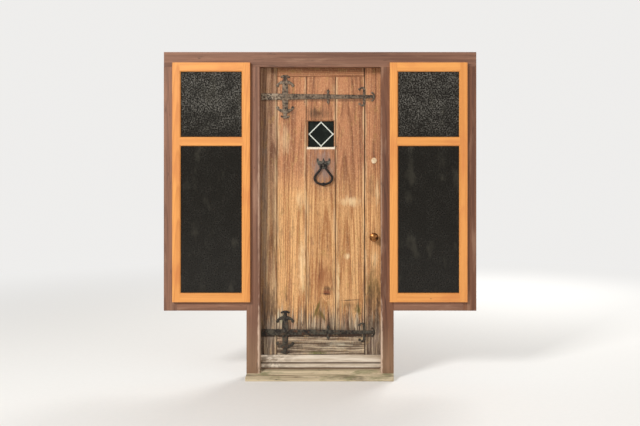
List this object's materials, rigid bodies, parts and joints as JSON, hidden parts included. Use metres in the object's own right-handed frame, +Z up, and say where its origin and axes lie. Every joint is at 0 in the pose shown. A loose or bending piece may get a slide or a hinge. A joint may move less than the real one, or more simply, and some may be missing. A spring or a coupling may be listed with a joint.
{
  "type": "panelled front door with side windows",
  "caption": "Weathered oak boarded front door with iron hinge fronts, ring knocker and small leaded pane, hung in a timber frame between fixed side windows.",
  "frame": {"origin": "middle of the sill's underside, in the plane of the frame's front face", "axes": "+Z up, +Y inwards through the doorway, +X to the right as seen from outside"},
  "size_m": [2.114, 0.237, 2.214],
  "materials": {
    "oak": "weathered, open grain",
    "frame_timber": "brown stain, sun faded",
    "sash_timber": "orange stain, satin",
    "sill_timber": "bare, weathered, some algae",
    "aluminium": "mill finish, dull",
    "obscured_glass": "stippled on one face",
    "clear_glass": "clear",
    "lead": "dull lead",
    "iron": "hammered, greyed",
    "brass": "handled, dull",
    "steel": "plated",
    "enamel": "bronze lacquer",
    "rubber": "matt"
  },
  "bodies": {
    "frame": {"door_seal": "rubber", "frame_hinge_flaps": "steel", "glazing_beads": "sash_timber", "head": "frame_timber", "hinge_pins": "steel", "jamb_left": "frame_timber", "jamb_right": "frame_timber", "left_sash_bottom_rail": "sash_timber", "left_sash_inner_stile": "sash_timber", "left_sash_lower_pane": "obscured_glass", "left_sash_outer_stile": "sash_timber", "left_sash_top_rail": "sash_timber", "left_sash_transom_bar": "sash_timber", "left_sash_upper_pane": "obscured_glass", "mullion_left": "frame_timber", "mullion_right": "frame_timber", "night_keep": "enamel", "right_sash_bottom_rail": "sash_timber", "right_sash_inner_stile": "sash_timber", "right_sash_lower_pane": "obscured_glass", "right_sash_outer_stile": "sash_timber", "right_sash_top_rail": "sash_timber", "right_sash_transom_bar": "sash_timber", "right_sash_upper_pane": "obscured_glass", "side_rail_left": "frame_timber", "side_rail_right": "frame_timber", "sill": "sill_timber", "strike_plate": "steel", "threshold_bar": "aluminium", "threshold_board": "frame_timber"},
    "leaf": {"board_left": "oak", "board_middle": "oak", "board_right": "oak", "cylinder_ring": "brass", "hinge_stile": "oak", "inner_rose": "brass", "knocker_plate": "iron", "knocker_stud": "iron", "latch_case": "steel", "leaf_bottom_rail": "oak", "leaf_hinge_flaps": "steel", "leaf_top_rail": "oak", "lock_stile": "oak", "middle_ledge": "oak", "night_latch_case": "enamel", "outer_rose": "brass", "strap_lower": "iron", "strap_nails": "iron", "strap_upper": "iron", "upper_ledge": "oak", "vision_frame": "oak", "vision_lead": "lead", "vision_pane": "clear_glass"},
    "knocker": {"knocker_ring": "iron"},
    "latch_knob": {"outer_knob": "brass", "inner_knob": "brass"},
    "latch_bolt": {"latch_bolt": "steel"},
    "night_knob": {"night_knob": "enamel"},
    "night_bolt": {"night_bolt": "steel"},
    "key_plug": {"cylinder_plug": "brass"}
  },
  "joints": [
    {"name": "door_swing", "type": "hinge", "parent": "frame", "child": "leaf", "pos_m": [-0.4205, 0.1275, 1.137], "axis": [0, 0, 1], "range_deg": [0, 100]},
    {"name": "knocker_swing", "type": "hinge", "parent": "leaf", "child": "knocker", "pos_m": [0.018, 0.059, 1.45], "axis": [-1, 0, 0], "range_deg": [0, 75]},
    {"name": "latch_turn", "type": "hinge", "parent": "leaf", "child": "latch_knob", "pos_m": [0.364, 0.072, 0.958], "axis": [0, 1, 0], "range_deg": [0, 60]},
    {"name": "latch_throw", "type": "slide", "parent": "leaf", "child": "latch_bolt", "axis": [1, 0, 0], "range_m": [0, 0.012]},
    {"name": "night_turn", "type": "hinge", "parent": "leaf", "child": "night_knob", "pos_m": [0.364, 0.15, 1.479], "axis": [0, 1, 0], "range_deg": [0, 90]},
    {"name": "night_throw", "type": "slide", "parent": "leaf", "child": "night_bolt", "axis": [1, 0, 0], "range_m": [0, 0.015]},
    {"name": "key_turn", "type": "hinge", "parent": "leaf", "child": "key_plug", "pos_m": [0.364, 0.067, 1.479], "axis": [0, 1, 0], "range_deg": [0, 90]}
  ],
  "couplings": [
    {"joint": "latch_throw", "follows": "latch_turn", "m_per_rad": 0.011459},
    {"joint": "night_throw", "follows": "night_turn", "m_per_rad": 0.009549}
  ]
}
